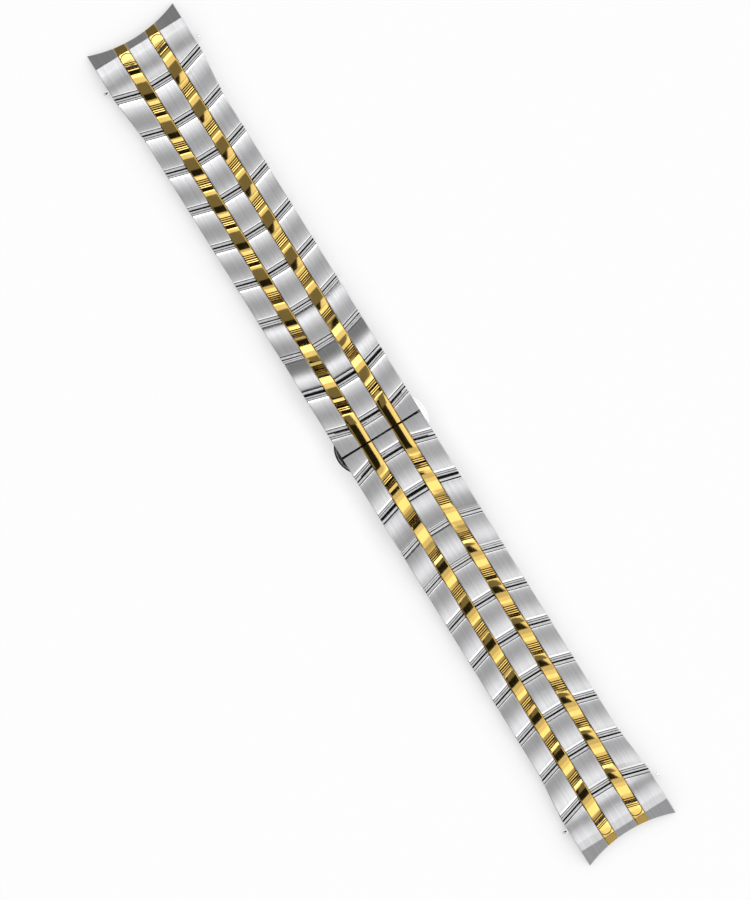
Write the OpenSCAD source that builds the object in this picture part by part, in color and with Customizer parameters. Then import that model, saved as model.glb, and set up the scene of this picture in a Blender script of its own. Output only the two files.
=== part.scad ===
// Two-tone watch bracelet with a double-folding clasp, in millimetres.
// X runs along the bracelet, Y across it and Z up. The origin lies on the
// table under the seam of the closed clasp. Half b lies on +X, and half a is
// its mirror image. Each half is a chain of steel rows and gold pairs that
// turn on cross pins, and it drapes from the clasp down to the table.

/* [Links] */
// Number of steel rows in each half
row_count = 9; // [6:1:9]
// Distance from one steel row to the next
pitch = 8.7; // [8:0.1:11]
// Width of the middle steel column
centre_w = 4.5; // [4:0.1:7]
// Width of each gold column
gold_w = 2.4; // [2:0.1:4]
// Width of each outer steel column
outer_w = 4.2; // [3.8:0.1:7]
// Clearance between two columns
column_gap = 0.08; // [0.05:0.01:0.15]
// Height of the crowned top of a steel row
steel_top = 3.1; // [2.9:0.05:3.6]
// Height of the crowned top of a gold piece
gold_top = 3.0; // [2.85:0.05:3.6]
// Radius of the crown along a link
crown_r = 14; // [12:0.5:30]
// Lean of the ends of the gold and outer steel blocks
slant = 16.4; // [5:0.2:18]

/* [Link ends] */
// Gap between two steel rows
row_gap = 0.26; // [0.2:0.01:0.35]
// Gap between two gold pieces
gold_gap = 0.3; // [0.2:0.01:0.4]
// Lean-back of an end face at its foot, which lets the bracelet curl
foot_relief = 0.18; // [0.16:0.01:0.3]
// Height of the low ledge at the clasp-side end of a row
ledge_z = 2.25; // [2.1:0.05:2.35]
// Width of that ledge
ledge_w = 0.62; // [0.4:0.02:0.8]
// Width of each of the two steps at the outer end of a row
step_w = 0.46; // [0.3:0.02:0.6]
// Height of the higher step
step_z = 2.42; // [2.4:0.02:2.5]
// Width of the thin bevel at the clasp-side end of a crown
fine_bevel = 0.16; // [0.1:0.02:0.3]
// Width of the broad bevel at the outer end of a crown
broad_bevel = 0.4; // [0.2:0.02:0.5]
// Depth at which a bevel meets the crown, below the top of the crown
bevel_depth = 0.38; // [0.36:0.01:0.42]
// Height of the upright face under the thin bevel
fine_foot = 0.2; // [0.1:0.02:0.24]
// Height of the upright face under the broad bevel
broad_foot = 0.08; // [0.04:0.02:0.12]
// Width of each of the two steps at both ends of a gold piece
gold_step_w = 0.42; // [0.3:0.02:0.5]
// Height of the lower of those steps
gold_step_z = 2.2; // [2.1:0.05:2.25]
// Height of the higher step above the lower one
gold_step_h = 0.2; // [0.1:0.02:0.24]
// Underside of the gold pieces above that of the steel
gold_foot = 0.25; // [0.1:0.05:0.4]
// Distance of the gold gap from the clasp-side gap of a row
gold_gap_at = 4.3; // [4:0.05:4.6]

/* [Pins] */
// Height of the cross pins above the underside
pin_z = 1.35; // [1.3:0.05:1.5]
// Radius of the cross pins
pin_r = 0.5; // [0.4:0.02:0.55]
// Distance of a row's first pin from its clasp-side gap
pin_in = 2.2; // [2.1:0.05:2.4]
// Clearance of a pin in the link that it is pressed into
press_gap = 0.01; // [0.01:0.005:0.02]
// Clearance of a pin in the link that turns on it
run_gap = 0.03; // [0.02:0.01:0.06]
// Depth of the pin ends below the outer faces
pin_sink = 0.35; // [0.2:0.05:0.6]
// Length of a clasp pin's bore past each end of the pin
pin_end = 0.05; // [0.02:0.01:0.1]

/* [End links] */
// Distance between the lugs of the watch
lug_w = 20; // [18.5:0.1:26]
// Clearance of an end link between the lugs
lug_gap = 0.1; // [0.05:0.01:0.2]
// Length of an end link at its middle
end_len = 9.9; // [9:0.1:13]
// Radius of the round watch case that the end link meets
case_r = 27; // [22:0.5:40]
// Radius of the arch of the end link's top
arch_r = 13; // [12:0.5:16]
// Highest point of that arch
arch_top = 3.4; // [3.2:0.05:3.8]
// Distance of the highest point from the clasp-side gap
arch_at = 4.5; // [3.5:0.1:6]
// Length of the end link's underside, at its middle, that rises toward the case
foot_run = 3.3; // [2.5:0.1:4]
// Rise of that underside for each millimetre of its length
foot_rise = 0.12; // [0.08:0.01:0.16]
// Distance of the gold gap in an end link from the clasp-side gap
end_gold_gap_at = 5.35; // [5.2:0.05:5.8]
// Distance from that gap to the bridge that joins the end link's columns
bridge_in = 0.6; // [0.56:0.02:0.8]
// Thickness of the fixed gold inlay
inlay_t = 1.1; // [0.7:0.05:1.3]

/* [Spring bars] */
// Distance of the spring bar from the clasp-side gap of the end link
bar_in = 3.5; // [3.4:0.05:4]
// Radius of the spring bar's tube
bar_r = 0.75; // [0.65:0.01:0.8]
// Clearance of the tube in the end link and in the gold pair that turns on it
bar_gap = 0.05; // [0.03:0.01:0.08]
// Radius of the tube's bore
bar_bore_r = 0.6; // [0.58:0.01:0.62]
// Radius of the tip that goes into a lug
tip_r = 0.4; // [0.3:0.01:0.45]
// Length of the tip past the end link
tip_out = 1.2; // [0.8:0.05:1.4]
// Travel of the tip
tip_travel = 1.1; // [0.7:0.05:1.3]
// Thickness of the flange on the tip
flange_t = 0.3; // [0.2:0.05:0.4]
// Length of the tip's shank inside the tube
shank_len = 1.9; // [1.5:0.1:2.5]
// Thickness of the wire of the spring in the tube
bar_wire = 0.15; // [0.1:0.01:0.2]
// Distance of the flange from the side of the end link
flange_sink = 0.1; // [0.05:0.01:0.14]

/* [Clasp] */
// Length of each half of the clasp that shows beside the seam
clasp_len = 4.3; // [4.2:0.05:5]
// Gap of the seam
seam = 0.2; // [0.12:0.02:0.3]
// Distance of a clasp end's highest point from the seam
clasp_crown_at = 0.6; // [0.4:0.1:1]
// Distance of a clasp end's second pin from the seam
second_x = 2.9; // [2.7:0.05:3.1]
// Distance of the folding hinges from the seam
hinge_x = 16; // [15:0.25:17.5]
// Distance of the sides of the base plate and the arms inside those of the links
plate_in = 1.21; // [1.1:0.05:1.5]
// Thickness of the base plate
base_t = 0.8; // [0.7:0.05:0.9]
// Thickness of an arm
arm_t = 0.8; // [0.7:0.05:0.85]
// Clearance between the layers of the folded clasp
layer_gap = 0.1; // [0.08:0.01:0.15]
// Radius of the hinge knuckles
knuckle_r = 1; // [0.95:0.05:1.1]
// Depth of the middle of the base plate's ends below the hinge pins
hinge_rise = 0.05; // [0.02:0.01:0.1]
// Width of the arm's knuckle
knuckle_w = 8.2; // [6:0.2:10]
// Width of the tongue at the tip of an arm
tongue_w = 2.4; // [1.8:0.1:2.6]
// Distance of the tongue's pin from the seam
tongue_x = 1.2; // [1.15:0.05:1.3]
// Height of the tongue's pin above the underside of the clasp end
tongue_z = 1.0; // [1:0.02:1.05]
// Thickness of steel left over the tongue
tongue_roof = 0.9; // [0.8:0.05:0.95]
// Height of the tongue above its pin
tongue_h = 0.9; // [0.8:0.05:0.95]
// Clearance of the tongue in its slot, on each side and below it
tongue_gap = 0.05; // [0.04:0.01:0.08]
// Length of the tongue's foot on the arm, past the clasp end
tongue_foot = 0.7; // [0.5:0.05:0.9]
// Distance of the tongue's shoulder from the outer end of the clasp end
shoulder_in = 0.5; // [0.4:0.05:0.6]
// Distance of the arms from the catch box
arm_gap = 0.45; // [0.4:0.05:0.6]

/* [Push buttons] */
// Length of a button along the bracelet
button_len = 6.6; // [6:0.1:6.9]
// Height of a button
button_h = 1.8; // [1.5:0.05:1.85]
// Bulge of a button past the side of the bracelet
button_out = 1.1; // [0.9:0.05:1.3]
// Travel of a button
button_travel = 0.7; // [0.5:0.05:0.75]
// Length of the slider's window along the bracelet, inside its rims
window_rim = 0.4; // [0.3:0.05:0.5]
// Length of a slider inside the end of the catch box
slider_run = 2.65; // [2.4:0.05:3]
// Length of its window inside the end of the catch box
window_run = 1.65; // [1.6:0.05:1.8]
// Length of its window outside the end of the catch box
window_over = 0.1; // [0.05:0.01:0.2]
// Thickness of the slider
slider_t = 0.35; // [0.3:0.05:0.4]
// Clearance of the slider between the walls of the catch box
slide_gap = 0.05; // [0.03:0.01:0.08]
// Radius of the spring between the buttons
spring_r = 0.3; // [0.2:0.02:0.34]
// Thickness of its wire
button_wire = 0.12; // [0.08:0.01:0.15]

/* [Catch] */
// Length of the catch box along the bracelet
box_len = 6.6; // [6.2:0.1:6.8]
// Distance of its ends inside the sides of the base plate
box_inset = 0.25; // [0.2:0.05:0.4]
// Thickness of its side walls
box_wall = 0.6; // [0.5:0.05:0.8]
// Thickness of its floor
floor_t = 0.13; // [0.1:0.01:0.15]
// Width of the rails that carry the sliders
rail_w = 0.5; // [0.3:0.05:0.6]
// Height of the rails
rail_h = 0.33; // [0.3:0.01:0.36]
// Distance of the latch hooks from the seam
hook_x = 0.5; // [0.4:0.05:0.6]
// Length of a hook along the bracelet
hook_len = 1.2; // [0.8:0.1:1.3]
// Distance of a hook's inner face inside the end of the catch box
hook_run = 1.35; // [1.25:0.05:1.4]
// Thickness of a hook
hook_t = 0.6; // [0.4:0.05:0.65]
// Depth of the lip at a hook's end
hook_lip = 0.25; // [0.1:0.05:0.25]
// Thickness of that lip
lip_h = 0.2; // [0.15:0.01:0.22]

/* [Hidden] */
// Slope in degrees of each piece of a half, from the clasp end outward: the
// chain lies over the folded clasp, then comes down to the table
drape = [0, 2, 11, 20, 15, 8, 4];
halves = ["a", "b"];
sides = ["left", "right"];
rows = [1:row_count];

gold_y = centre_w / 2 + column_gap;
outer_y = gold_y + gold_w + column_gap;
edge_y = outer_y + outer_w;
pin_half = edge_y - pin_sink;
lean_out = outer_w * tan(slant);
end_y = (lug_w - lug_gap) / 2;
pin_reach = pitch / 2;
last_reach = pitch - pin_in - pin_reach + bar_in;

// A height and a distance past every piece, for cuts that go right through,
// and the depth to which a solid runs into another that it is joined to
sky = 6;
far = 40;
join = 0.2;
$fn = 64;

// Height of the clasp ends: the sum of what the chain drops to the table
function slope(n) = n < len(drape) ? drape[n] : 0;
function reach(n) = n == 2 * row_count ? last_reach : pin_reach;
function drop(n) = n < 1 ? 0 : reach(n) * sin(slope(n)) + drop(n - 1);
clasp_z = drop(2 * row_count);

// Axis of the pin on which piece n turns, as [x, z]
function pivot(n) = n == 1
    ? [clasp_len + pin_in, clasp_z + pin_z]
    : pivot(n - 1) + reach(n - 1) * [cos(slope(n - 1)), -sin(slope(n - 1))];
function row_step(i) = 2 * (row_count - i) + 1;
function gold_step(i) = row_step(i) + 1;
end_step = 2 * row_count + 1;

// The arch of the folded clasp: both plates share one centre
arm_top_z = clasp_z - layer_gap;
base_top_z = arm_top_z - arm_t - layer_gap;
base_end_z = knuckle_r - base_t / 2 - hinge_rise;
rise = base_top_z - base_t - base_end_z;
arch_in_r = (hinge_x * hinge_x + rise * rise) / (2 * rise);
arch_z = base_end_z + rise - arch_in_r;
base_out_r = arch_in_r + base_t;
arm_in_r = base_out_r + layer_gap;
arm_out_r = arm_in_r + arm_t;
hinge_z = knuckle_r;
knuckle_side = knuckle_w / 2 + layer_gap;
arm_start = box_len / 2 + arm_gap;

// The catch box fills the space over the base plate between the arms
plate_y = edge_y - plate_in;
box_y = plate_y - box_inset;
box_top = clasp_z - layer_gap;
box_foot = base_top_z + press_gap;
box_floor = box_foot + floor_t;
rail_top = box_floor + rail_h;
slider_z = rail_top + run_gap;
hook_end = box_floor + layer_gap;

slider_in = box_y - slider_run;
window_in = box_y - window_run;
window_out = box_y + window_over;
hook_in = box_y - hook_run;
button_in = box_y + button_travel + layer_gap;
button_y = edge_y + button_out;
half_len = button_len / 2;
button_r = (half_len * half_len + button_out * button_out) / (2 * button_out);
button_z = base_top_z + layer_gap;

bar_hole_r = bar_r + bar_gap;
flange_y = end_y - flange_sink - flange_t;
tube_half = flange_y - tip_travel - layer_gap;
shank_in = tube_half - shank_len;

// The clasp ends: the slot for the tongue, and the ends of the pins' bores
slot_y = tongue_w / 2 + 2 * tongue_gap;
clasp_pin_y = box_y - 2 * layer_gap;
second_y = slot_y + 2 * layer_gap;

// Outline points of the clasp-side end of a steel block, from foot to crown
function inner_end() = [
    [row_gap / 2 + foot_relief, 0],
    [row_gap / 2, pin_z],
    [row_gap / 2, ledge_z],
    [row_gap / 2 + ledge_w, ledge_z],
    [row_gap / 2 + ledge_w, ledge_z + fine_foot],
    [row_gap / 2 + ledge_w + fine_bevel, steel_top - bevel_depth],
    [row_gap / 2 + ledge_w + fine_bevel, sky]
];

// Outline points of the outer end of a steel block, from crown to foot
function outer_end(x) = [
    [x - row_gap / 2 - 2 * step_w - broad_bevel, sky],
    [x - row_gap / 2 - 2 * step_w - broad_bevel, steel_top - bevel_depth],
    [x - row_gap / 2 - 2 * step_w, step_z + broad_foot],
    [x - row_gap / 2 - 2 * step_w, step_z],
    [x - row_gap / 2 - step_w, step_z],
    [x - row_gap / 2 - step_w, ledge_z],
    [x - row_gap / 2, ledge_z],
    [x - row_gap / 2, pin_z],
    [x - row_gap / 2 - foot_relief, 0]
];

// Outline points of one end of a gold piece, from foot to crown; dir is 1 for
// an end that faces the clasp and -1 for an end that faces the watch
function gold_end(x, dir) = [
    [x + dir * (gold_gap / 2 + foot_relief), gold_foot],
    [x + dir * gold_gap / 2, pin_z],
    [x + dir * gold_gap / 2, gold_step_z],
    [x + dir * (gold_gap / 2 + gold_step_w), gold_step_z],
    [x + dir * (gold_gap / 2 + gold_step_w), gold_step_z + gold_step_h],
    [x + dir * (gold_gap / 2 + 2 * gold_step_w), gold_step_z + gold_step_h],
    [x + dir * (gold_gap / 2 + 2 * gold_step_w + fine_bevel), gold_top - bevel_depth],
    [x + dir * (gold_gap / 2 + 2 * gold_step_w + fine_bevel), sky]
];

function reversed(list) = [for (i = [len(list) - 1:-1:0]) list[i]];

// A cylinder along Y between two heights of y, centred at x and z
module rod(x, z, r, y0, y1) {
    translate([x, y1, z]) rotate([90, 0, 0]) cylinder(r = r, h = y1 - y0);
}

// Both halves across the bracelet
module both_sides() {
    children();
    mirror([0, 1, 0]) children();
}

// An outline in x and z, extruded across the bracelet along a direction that
// leans by the angle given, and crowned by a cylinder of the radius given
module column(points, lean, crown_x, crown_z, radius) {
    intersection() {
        outline(points, lean);
        rotate([0, 0, -lean]) translate([crown_x * cos(lean), 0, crown_z - radius])
            rotate([90, 0, 0]) cylinder(r = radius, h = 2 * far, center = true, $fn = 160);
    }
}

// What lies between two lines across the bracelet, from x0 to x1; the outer
// line may run from y1 to y2
module strip(y0, y1, y2, x0, x1) {
    translate([0, 0, -sky]) linear_extrude(height = 3 * sky)
        polygon([[x0, y0], [x0, y1], [x1, y2], [x1, y0]]);
}

// The three steel blocks of a row, with the outline given. Their outer side
// runs from the edge of the links to the width given.
module steel_blocks(points, crown_x, wide_y) {
    intersection() {
        column(points, 0, crown_x, steel_top, crown_r);
        translate([0, 0, sky / 2]) cube([4 * far, centre_w, 2 * sky], center = true);
    }
    both_sides() intersection() {
        translate([0, outer_y, 0]) column(points, slant, crown_x, steel_top, crown_r);
        strip(outer_y, edge_y, wide_y, 0, pitch + lean_out);
    }
}

// Moves a row's own frame, with its pivot at the origin, into the drape
module at_step(n) {
    p = pivot(n);
    translate([p[0], 0, p[1]]) rotate([0, slope(n), 0]) children();
}

// Draws in half b as modelled and in half a mirrored
module in_half(h) {
    if (h == "a") mirror([1, 0, 0]) children();
    else children();
}

// A tip or button on the right as modelled, and on the left mirrored
module on_side(s) {
    if (s == "left") mirror([0, 1, 0]) children();
    else children();
}

// One steel row: three blocks on two cross pins. Row 1 widens to the lugs.
module row(i) {
    points = concat(inner_end(), outer_end(pitch));
    crown_x = (pitch + row_gap / 2 + ledge_w - 2 * step_w - broad_bevel) / 2;
    color("silver") at_step(row_step(i)) translate([-pin_in, 0, -pin_z]) {
        difference() {
            steel_blocks(points, crown_x, i == 1 ? end_y : edge_y);
            for (x = [pin_in, pin_in + pin_reach])
                rod(x, pin_z, pin_r + press_gap, -far / 2, far / 2);
        }
        for (x = [pin_in, pin_in + pin_reach])
            rod(x, pin_z, pin_r, -pin_half, pin_half);
    }
}

// The gold pair that joins row i to the next piece toward the watch. Its
// frame has its origin on its first pin.
module gold_pair(i) {
    first = gold_gap_at - pin_in - pin_reach;
    last = i == 1
        ? last_reach - bar_in + end_gold_gap_at
        : pin_reach - pin_in + gold_gap_at;
    bore = i == 1 ? bar_hole_r : pin_r + run_gap;
    color("goldenrod") at_step(gold_step(i)) translate([0, 0, -pin_z]) both_sides()
        difference() {
            gold_bar(concat(gold_end(first, 1), reversed(gold_end(last, -1))),
                     (first + last) / 2);
            rod(0, pin_z, pin_r + run_gap, 0, far / 2);
            rod(i == 1 ? last_reach : pin_reach, pin_z, bore, 0, far / 2);
        }
}

// A gold piece on the right, with leaning ends
module gold_bar(points, crown_x) {
    intersection() {
        translate([0, gold_y + gold_w / 2, 0])
            column(points, slant, crown_x, gold_top, crown_r);
        strip(gold_y, gold_y + gold_w, gold_y + gold_w, -far, far);
    }
}

// Half of the closed clasp's top: three blocks beside the seam, with a slot
// below the middle block for the arm's tongue and a latch hook on each side
module clasp_end() {
    points = concat([[-far, 0], [-far, sky]], outer_end(clasp_len));
    roof = steel_top - tongue_roof;
    color("silver") translate([0, 0, clasp_z]) {
        difference() {
            intersection() {
                steel_blocks(points, clasp_crown_at, edge_y);
                translate([seam / 2, -far, -sky]) cube([far, 2 * far, 3 * sky]);
            }
            rod(tongue_x, tongue_z, pin_r + press_gap, -clasp_pin_y, clasp_pin_y);
            both_sides()
                rod(second_x, pin_z, pin_r + press_gap, second_y, clasp_pin_y);
            translate([0, -slot_y, -sky]) cube([2 * clasp_len, 2 * slot_y, roof + sky]);
            both_sides() button_pocket();
        }
        rod(tongue_x, tongue_z, pin_r, -clasp_pin_y + pin_end, clasp_pin_y - pin_end);
        both_sides()
            rod(second_x, pin_z, pin_r, second_y + pin_end, clasp_pin_y - pin_end);
        both_sides() latch_hook();
    }
}

// Room for the pressed button in the underside of a clasp end
module button_pocket() {
    intersection() {
        translate([0, button_y - button_r, -sky])
            cylinder(r = button_r + layer_gap,
                     h = sky + button_z + button_h - clasp_z + layer_gap);
        translate([-far, box_y + run_gap, -sky]) cube([2 * far, far, 3 * sky]);
    }
}

// The hook that goes down through the window of a button's slider
module latch_hook() {
    depth = clasp_z - hook_end;
    translate([hook_x, hook_in, -depth]) cube([hook_len, hook_t, depth + join]);
    translate([hook_x, hook_in - hook_lip, -depth]) cube([hook_len, hook_lip + hook_t, lip_h]);
}

// The last gold pair, fixed on the pins of the clasp end, up to the seam
module clasp_inlay() {
    last = clasp_len + gold_gap_at;
    points = concat([[-far, gold_foot], [-far, sky]], reversed(gold_end(last, -1)));
    color("goldenrod") translate([0, 0, clasp_z]) both_sides() difference() {
        intersection() {
            gold_bar(points, last / 2);
            translate([seam / 2, 0, -sky]) cube([far, far, 3 * sky]);
        }
        rod(tongue_x, tongue_z, pin_r + press_gap, 0, far / 2);
        rod(second_x, pin_z, pin_r + press_gap, 0, far / 2);
        rod(clasp_len + pin_in, pin_z, pin_r + run_gap, 0, far / 2);
    }
}

// The end link: one steel piece that fills the space between the bracelet,
// the lugs and the round case, with a bore for the spring bar
module end_link() {
    foot_x = end_len - foot_run;
    tip_x = 2 * end_len;
    points = concat(inner_end(), [
        [tip_x, sky],
        [tip_x, (tip_x - foot_x) * foot_rise],
        [foot_x, 0]
    ]);
    color("silver") end_frame() difference() {
        intersection() {
            end_arch(0);
            union() {
                intersection() {
                    outline(points, 0);
                    strip(-centre_w / 2, centre_w / 2, centre_w / 2, 0, far);
                }
                both_sides() intersection() {
                    translate([0, outer_y, 0]) outline(points, slant);
                    strip(outer_y, end_y, end_y, 0, far);
                }
                intersection() {
                    outline(points, 0);
                    strip(-end_y, end_y, end_y, end_gold_gap_at + bridge_in, far);
                }
            }
        }
        case_round();
        rod(bar_in, pin_z, bar_hole_r, -far, far);
        both_sides() inlay_space(0);
    }
}

// The watch case, which the end link's concave side meets
module case_round() {
    translate([end_len + case_r, 0, -sky]) cylinder(r = case_r, h = 3 * sky, $fn = 200);
}

// An outline in x and z, extruded across the bracelet with the lean given
module outline(points, lean) {
    rotate([0, 0, -lean]) rotate([90, 0, 0]) linear_extrude(height = 2 * far, center = true)
        polygon([for (p = points) [p[0] * cos(lean), p[1]]]);
}

// The end link's own frame: its spring bar is the pivot
module end_frame() {
    at_step(end_step) translate([-bar_in, 0, -pin_z]) children();
}

// The space below the arch of the end link's top, less the depth given
module end_arch(depth) {
    translate([arch_at, 0, arch_top - arch_r]) rotate([90, 0, 0])
        cylinder(r = arch_r - depth, h = 2 * far, center = true, $fn = 160);
}

// The groove of the fixed gold inlay on the right, or the inlay, which is
// smaller by the gap
module inlay_space(gap) {
    side = column_gap - gap;
    start = end_gold_gap_at + (gap > 0 ? gold_gap / 2 : 0);
    intersection() {
        difference() {
            end_arch(0);
            end_arch(inlay_t - gap);
        }
        translate([0, gold_y + gold_w / 2, 0])
            outline([[start, -sky], [start, sky], [2 * end_len, sky], [2 * end_len, -sky]], slant);
        strip(gold_y - side, gold_y + gold_w + side, gold_y + gold_w + side, 0, far);
    }
}

// The fixed gold inlays of an end link
module end_inlay() {
    color("goldenrod") end_frame() both_sides() difference() {
        inlay_space(press_gap);
        case_round();
    }
}

// The tube of the spring bar
module spring_bar() {
    color("silver") at_step(end_step) difference() {
        rod(0, 0, bar_r, -tube_half, tube_half);
        rod(0, 0, bar_bore_r, -far, far);
    }
}

// The spring inside the tube, drawn as the sleeve that its coils fill
module bar_spring() {
    color("gray") at_step(end_step) difference() {
        rod(0, 0, bar_bore_r - run_gap, -shank_in + run_gap, shank_in - run_gap);
        rod(0, 0, bar_bore_r - run_gap - bar_wire, -far, far);
    }
}

// A sprung tip: a shank in the tube, a flange and the tip for the lug's hole
module bar_tip() {
    color("gainsboro") at_step(end_step) {
        rod(0, 0, bar_bore_r - run_gap, shank_in, flange_y);
        rod(0, 0, bar_r - run_gap, flange_y, flange_y + flange_t);
        rod(0, 0, tip_r, flange_y + flange_t, end_y + tip_out);
    }
}

// A curved plate that follows the arch of the clasp, from x0 to x1
module arch_plate(inner, outer, x0, x1) {
    intersection() {
        translate([0, 0, arch_z]) difference() {
            rod(0, 0, outer, -plate_y, plate_y, $fn = 200);
            rod(0, 0, inner, -far, far, $fn = 200);
        }
        translate([x0, -far, 0]) cube([x1 - x0, 2 * far, 2 * sky]);
    }
}

// The curved base plate, with two hinge knuckles at each end
module base_plate() {
    color("lightsteelblue") difference() {
        union() {
            arch_plate(arch_in_r, base_out_r, -hinge_x, hinge_x);
            for (x = [-hinge_x, hinge_x]) both_sides()
                rod(x, hinge_z, knuckle_r, knuckle_side, plate_y);
        }
        for (x = [-hinge_x, hinge_x]) {
            rod(x, hinge_z, knuckle_r + layer_gap, -knuckle_side, knuckle_side);
            rod(x, hinge_z, pin_r + press_gap, -far, far);
        }
    }
}

// The two pins of the base plate's hinges
module hinge_pins() {
    color("gray") for (x = [-hinge_x, hinge_x])
        rod(x, hinge_z, pin_r, -plate_y + layer_gap, plate_y - layer_gap);
}

// An arm: a curved plate on the base plate, with a knuckle at its outer end
// and a raised tongue at its tip, which goes up into the clasp end
module clasp_arm() {
    pin_height = clasp_z + tongue_z;
    low = clasp_z + layer_gap;
    neck_x = box_len / 2 + layer_gap;
    foot_x = clasp_len + tongue_foot;
    foot_top = arch_z + sqrt(arm_out_r * arm_out_r - foot_x * foot_x);
    color("lightsteelblue") difference() {
        union() {
            difference() {
                arch_plate(arm_in_r, arm_out_r, arm_start, hinge_x);
                both_sides()
                    rod(hinge_x, hinge_z, knuckle_r + layer_gap, knuckle_w / 2, far);
            }
            rod(hinge_x, hinge_z, knuckle_r, -knuckle_w / 2, knuckle_w / 2);
            rod(tongue_x, pin_height, tongue_z - tongue_gap, -tongue_w / 2, tongue_w / 2);
            rotate([90, 0, 0]) linear_extrude(height = tongue_w, center = true)
                polygon([
                    [tongue_x, low],
                    [neck_x, low],
                    [neck_x + layer_gap, base_top_z + layer_gap],
                    [foot_x, base_top_z + layer_gap],
                    [foot_x, foot_top - tongue_gap],
                    [clasp_len - shoulder_in / 2, arm_top_z],
                    [clasp_len - shoulder_in, pin_height + layer_gap],
                    [tongue_x, pin_height + tongue_h]
                ]);
        }
        rod(tongue_x, pin_height, pin_r + run_gap, -far, far);
        rod(hinge_x, hinge_z, pin_r + run_gap, -far, far);
    }
}

// The catch box: a channel across the base plate in which both sliders run
module catch_box() {
    half = box_len / 2;
    color("lightsteelblue") difference() {
        translate([-half, -box_y, box_foot])
            cube([2 * half, 2 * box_y, box_top - box_foot]);
        translate([-half + box_wall + rail_w, -far, box_floor])
            cube([2 * (half - box_wall - rail_w), 2 * far, sky]);
        translate([-half + box_wall, -far, rail_top])
            cube([2 * (half - box_wall), 2 * far, sky]);
    }
}

// A push button: a lens-shaped head and a slider with a window for the hooks
module button() {
    slider_half = box_len / 2 - box_wall - slide_gap;
    color("gainsboro") {
        intersection() {
            translate([0, button_y - button_r, button_z])
                cylinder(r = button_r, h = button_h, $fn = 128);
            translate([-half_len, button_in, 0]) cube([button_len, far, 2 * sky]);
        }
        difference() {
            translate([-slider_half, slider_in, slider_z])
                cube([2 * slider_half, button_in - slider_in + join, slider_t]);
            translate([-slider_half + window_rim, window_in, 0])
                cube([2 * (slider_half - window_rim), window_out - window_in, 2 * sky]);
        }
    }
}

// The spring that holds the two buttons apart, as the sleeve of its coils
module button_spring() {
    height = box_floor + spring_r + slide_gap;
    color("gray") difference() {
        rod(0, height, spring_r, -slider_in + slide_gap, slider_in - slide_gap);
        rod(0, height, spring_r - button_wire, -far, far);
    }
}

base_plate();
hinge_pins();
catch_box();
button_spring();
for (s = sides) {
    on_side(s) button();
}
for (h = halves) {
    in_half(h) clasp_arm();
    in_half(h) clasp_end();
    in_half(h) clasp_inlay();
    in_half(h) end_link();
    in_half(h) end_inlay();
    in_half(h) spring_bar();
    in_half(h) bar_spring();
    for (i = rows) {
        in_half(h) row(i);
        in_half(h) gold_pair(i);
    }
    for (s = sides) {
        in_half(h) on_side(s) bar_tip();
    }
}
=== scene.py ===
"""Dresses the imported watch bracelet: brushed steel rows, polished gold pairs and a folding clasp.

Sizes are in millimetres, as in the part's own source, and turn into metres where a mesh is made. X runs
along the bracelet, Y across it and Z up. Half b lies on +X, and half a is its mirror image.
"""

import math

import bmesh
import bpy
from mathutils import Matrix, Vector


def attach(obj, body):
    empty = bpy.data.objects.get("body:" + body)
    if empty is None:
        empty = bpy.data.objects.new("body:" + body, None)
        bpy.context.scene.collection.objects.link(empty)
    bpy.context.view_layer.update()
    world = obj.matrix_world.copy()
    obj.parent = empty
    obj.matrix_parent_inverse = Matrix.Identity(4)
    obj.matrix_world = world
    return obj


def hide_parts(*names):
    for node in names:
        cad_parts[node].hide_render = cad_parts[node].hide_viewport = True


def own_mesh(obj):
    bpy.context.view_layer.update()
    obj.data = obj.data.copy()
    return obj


MM = 0.001

# The links, as in the part's source
ROWS = 9
PITCH = 8.7
CENTRE_W = 4.5
GOLD_W = 2.4
OUTER_W = 4.2
COLUMN_GAP = 0.08
STEEL_TOP = 3.1
GOLD_TOP = 3.0
CROWN_R = 14.0
SLANT = math.radians(16.4)
ROW_GAP = 0.26
GOLD_GAP = 0.3
FOOT_RELIEF = 0.18
LEDGE_Z = 2.25
LEDGE_W = 0.62
STEP_W = 0.46
STEP_Z = 2.42
FINE_BEVEL = 0.16
BROAD_BEVEL = 0.4
GOLD_STEP_W = 0.42
GOLD_STEP_Z = 2.2
GOLD_STEP_H = 0.2
GOLD_FOOT = 0.25
GOLD_GAP_AT = 4.3
END_GOLD_GAP_AT = 5.35

# Pins, spring bars and the clasp
PIN_Z = 1.35
PIN_R = 0.5
PRESS_GAP = 0.01
RUN_GAP = 0.03
PIN_IN = 2.2
PIN_SINK = 0.35
BAR_IN = 3.5
BAR_R = 0.75
BAR_GAP = 0.05
BAR_BORE_R = 0.6
TIP_R = 0.4
TIP_OUT = 1.2
TIP_TRAVEL = 1.1
FLANGE_T = 0.3
FLANGE_SINK = 0.1
SHANK_LEN = 1.9
BAR_WIRE = 0.15
LUG_W = 20.0
LUG_GAP = 0.1
LAYER_GAP = 0.1
SEAM = 0.2
CLASP_LEN = 4.3
CLASP_CROWN_AT = 0.6
TONGUE_W = 2.4
TONGUE_X = 1.2
TONGUE_Z = 1.0
TONGUE_ROOF = 0.9
TONGUE_GAP = 0.05
BUTTON_LEN = 6.6
BUTTON_H = 1.8
BUTTON_OUT = 1.1
BUTTON_TRAVEL = 0.7
WINDOW_RIM = 0.4
SLIDER_RUN = 2.65
WINDOW_RUN = 1.65
WINDOW_OVER = 0.1
SLIDER_T = 0.35
SLIDE_GAP = 0.05
SPRING_R = 0.3
BUTTON_WIRE = 0.12
ARM_T = 0.8
PLATE_IN = 1.21
BOX_LEN = 6.6
BOX_INSET = 0.25
BOX_WALL = 0.6
FLOOR_T = 0.13
RAIL_H = 0.33
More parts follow.
